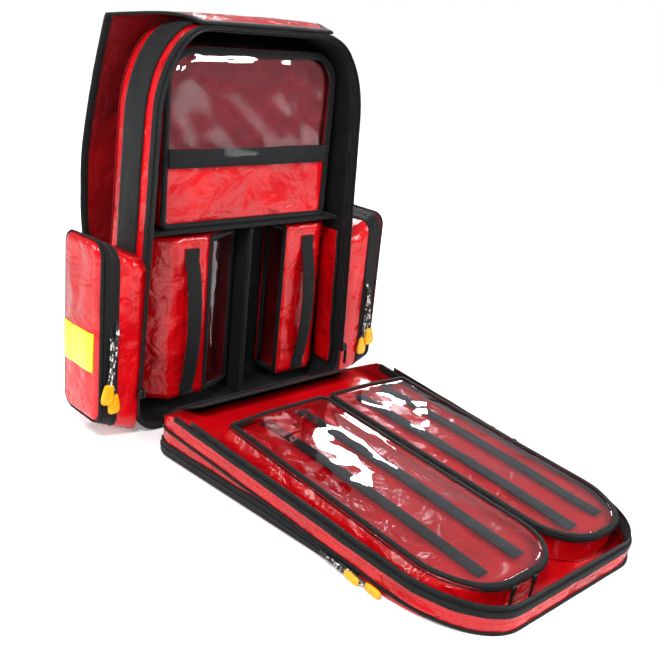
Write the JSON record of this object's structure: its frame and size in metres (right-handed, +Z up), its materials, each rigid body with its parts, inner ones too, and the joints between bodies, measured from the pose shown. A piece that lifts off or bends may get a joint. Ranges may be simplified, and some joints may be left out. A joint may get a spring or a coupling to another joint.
{
  "type": "trauma backpack",
  "caption": "Soft medical rucksack standing open: a compartment with windowed modules, a cover laid down on the floor with clear pouches, side pockets and a harness flap.",
  "frame": {"origin": "on the floor, under the middle of the main compartment's width and depth", "axes": "+Z up, -Y towards the opening and the laid-down cover, +X to the right of a person who looks into the opening"},
  "size_m": [0.5336, 0.7789, 0.5842],
  "materials": {
    "red_tarpaulin": "glossy coated fabric over thin foam",
    "black_lining": "plain woven nylon",
    "black_webbing": "ribbed woven webbing",
    "black_zip": "woven tape with coil teeth",
    "black_padding": "air mesh over foam",
    "black_plastic": "moulded, satin",
    "clear_vinyl": "clear, glossy",
    "lime_reflective": "fine prismatic reflective film",
    "orange_plastic": "moulded, satin"
  },
  "bodies": {
    "bag": {"main_shell": "red_tarpaulin", "main_lining": "black_lining", "body_binding": "black_webbing", "body_zip": "black_zip", "shelf_divider": "black_lining", "centre_divider": "black_lining", "inner_side_pocket": "red_tarpaulin", "carry_webbing": "black_webbing", "back_pad": "black_padding", "shoulder_strap_left": "black_padding", "shoulder_strap_right": "black_padding", "hip_wing_right": "black_padding", "hip_buckle_socket": "black_plastic", "chest_strap": "black_webbing", "cover_top": "red_tarpaulin", "pocket_left": "red_tarpaulin", "pocket_right": "red_tarpaulin", "pocket_zip_left": "black_zip", "pocket_zip_right": "black_zip", "hinge_fabric": "black_lining"},
    "lid": {"lid_shell": "red_tarpaulin", "lid_lining": "red_tarpaulin", "lid_binding": "black_webbing", "lid_zip": "black_zip", "lid_webbing": "black_webbing", "front_pocket": "red_tarpaulin", "front_pocket_zip": "black_zip", "pouch_left": "red_tarpaulin", "pouch_right": "red_tarpaulin", "pouch_sliders_left": "black_plastic", "pouch_sliders_right": "black_plastic", "front_pocket_pulls": "orange_plastic"},
    "harness_flap": {"cover_flap": "red_tarpaulin", "flap_binding": "black_webbing"},
    "door_left": {"pocket_door_left": "red_tarpaulin", "reflective_band_left": "lime_reflective"},
    "door_right": {"pocket_door_right": "red_tarpaulin", "reflective_band_right": "lime_reflective"},
    "pull_left_upper": {"pocket_pull_left_upper": "orange_plastic"},
    "pull_left_lower": {"pocket_pull_left_lower": "orange_plastic"},
    "pull_right_upper": {"pocket_pull_right_upper": "orange_plastic"},
    "pull_right_lower": {"pocket_pull_right_lower": "orange_plastic"},
    "upper_module": {"top_module": "red_tarpaulin", "top_module_zip": "black_zip"},
    "upper_front": {"top_module_panel": "red_tarpaulin", "top_module_window": "clear_vinyl"},
    "lower_left_module": {"left_module": "red_tarpaulin", "left_module_zip": "black_zip", "left_module_handle": "black_webbing"},
    "lower_left_window": {"left_module_window": "clear_vinyl"},
    "lower_right_module": {"right_module": "red_tarpaulin", "right_module_zip": "black_zip", "right_module_handle": "black_webbing"},
    "lower_right_window": {"right_module_window": "clear_vinyl"},
    "cover_window_left": {"pouch_window_left": "clear_vinyl"},
    "cover_window_right": {"pouch_window_right": "clear_vinyl"},
    "slider_left": {"main_slider_left": "black_plastic"},
    "slider_right": {"main_slider_right": "black_plastic"},
    "hip_belt_left": {"hip_wing_left": "black_padding", "hip_buckle_plug": "black_plastic"}
  },
  "joints": [
    {"name": "lid_hinge", "type": "hinge", "parent": "bag", "child": "lid", "pos_m": [0, -0.1132, 0.02332], "axis": [1, 0, 0], "range_deg": [-94.4, 0], "deforming": ["hinge_fabric"]},
    {"name": "harness_flap_hinge", "type": "hinge", "parent": "bag", "child": "harness_flap", "pos_m": [0, 0.0523, 0.5697], "axis": [1, 0, 0], "range_deg": [0, 150]},
    {"name": "door_left_hinge", "type": "hinge", "parent": "bag", "child": "door_left", "pos_m": [-0.25676, -0.003, 0.0298], "axis": [0, -1, 0], "range_deg": [0, 80]},
    {"name": "door_right_hinge", "type": "hinge", "parent": "bag", "child": "door_right", "pos_m": [0.25676, -0.003, 0.0298], "axis": [0, 1, 0], "range_deg": [0, 80]},
    {"name": "pull_left_upper_slide", "type": "slide", "parent": "bag", "child": "pull_left_upper", "axis": [0, 0, 1], "range_m": [0, 0.05]},
    {"name": "pull_left_lower_slide", "type": "slide", "parent": "bag", "child": "pull_left_lower", "axis": [0, 0, -1], "range_m": [0, 0.03]},
    {"name": "pull_right_upper_slide", "type": "slide", "parent": "bag", "child": "pull_right_upper", "axis": [0, 0, 1], "range_m": [0, 0.05]},
    {"name": "pull_right_lower_slide", "type": "slide", "parent": "bag", "child": "pull_right_lower", "axis": [0, 0, -1], "range_m": [0, 0.03]},
    {"name": "upper_module_slide", "type": "slide", "parent": "bag", "child": "upper_module", "axis": [0, -1, 0], "range_m": [0, 0.05]},
    {"name": "upper_front_hinge", "type": "hinge", "parent": "upper_module", "child": "upper_front", "pos_m": [0.003, -0.018, 0.2976], "axis": [1, 0, 0], "range_deg": [0, 60]},
    {"name": "lower_left_module_slide", "type": "slide", "parent": "bag", "child": "lower_left_module", "axis": [0, -1, 0], "range_m": [0, 0.03]},
    {"name": "lower_left_window_hinge", "type": "hinge", "parent": "lower_left_module", "child": "lower_left_window", "pos_m": [-0.00816, 0.00339, 0.1465], "axis": [0, 0, 1], "range_deg": [0, 60]},
    {"name": "lower_right_module_slide", "type": "slide", "parent": "bag", "child": "lower_right_module", "axis": [0, -1, 0], "range_m": [0, 0.03]},
    {"name": "lower_right_window_hinge", "type": "hinge", "parent": "lower_right_module", "child": "lower_right_window", "pos_m": [0.0828, 0.0242, 0.1465], "axis": [0, 0, -1], "range_deg": [0, 60]},
    {"name": "cover_window_left_hinge", "type": "hinge", "parent": "lid", "child": "cover_window_left", "pos_m": [-0.082, -0.21451, 0.07903], "axis": [-1, 0, 0], "range_deg": [0, 75]},
    {"name": "cover_window_right_hinge", "type": "hinge", "parent": "lid", "child": "cover_window_right", "pos_m": [0.094, -0.21451, 0.07903], "axis": [-1, 0, 0], "range_deg": [0, 75]},
    {"name": "slider_left_slide", "type": "slide", "parent": "bag", "child": "slider_left", "axis": [0.0431, 0, 0.9991], "range_m": [0, 0.25]},
    {"name": "slider_right_slide", "type": "slide", "parent": "bag", "child": "slider_right", "axis": [-0.0431, 0, 0.9991], "range_m": [0, 0.25]},
    {"name": "hip_buckle_slide", "type": "slide", "parent": "bag", "child": "hip_belt_left", "axis": [-1, 0, 0], "range_m": [0, 0.03]}
  ]
}
